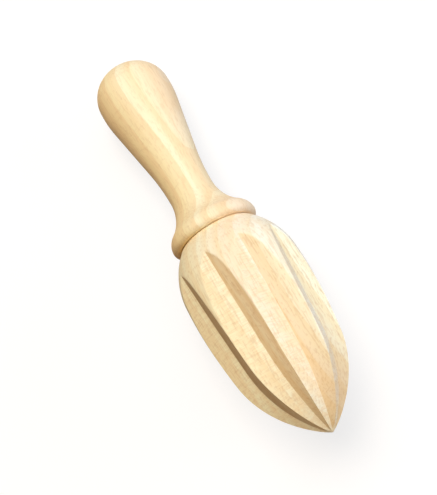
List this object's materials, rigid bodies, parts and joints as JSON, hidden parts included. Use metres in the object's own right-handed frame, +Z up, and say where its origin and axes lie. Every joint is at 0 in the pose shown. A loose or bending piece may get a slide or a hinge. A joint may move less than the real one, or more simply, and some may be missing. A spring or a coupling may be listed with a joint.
{
  "type": "citrus reamer",
  "caption": "Wooden hand citrus reamer: a pointed, fluted beech head glued by a turned tenon into a club-shaped handle with a flared collar, lying on a table.",
  "frame": {"origin": "On the table under the middle of the object's bounding box, as the reamer lies at rest.", "axes": "+X from the handle towards the tip of the head, +Y across the tool, +Z up. The tool's own axis lies in the XZ plane and rises towards the tip by about five degrees, because the head is thicker than the grip."},
  "size_m": [0.1644, 0.0468, 0.0475],
  "materials": {
    "head_beech": "matte, unfinished fine-sanded beech with cut flutes",
    "handle_beech": "matte, unfinished turned beech"
  },
  "bodies": {
    "root": {"head": "head_beech", "handle": "handle_beech"}
  },
  "joints": []
}
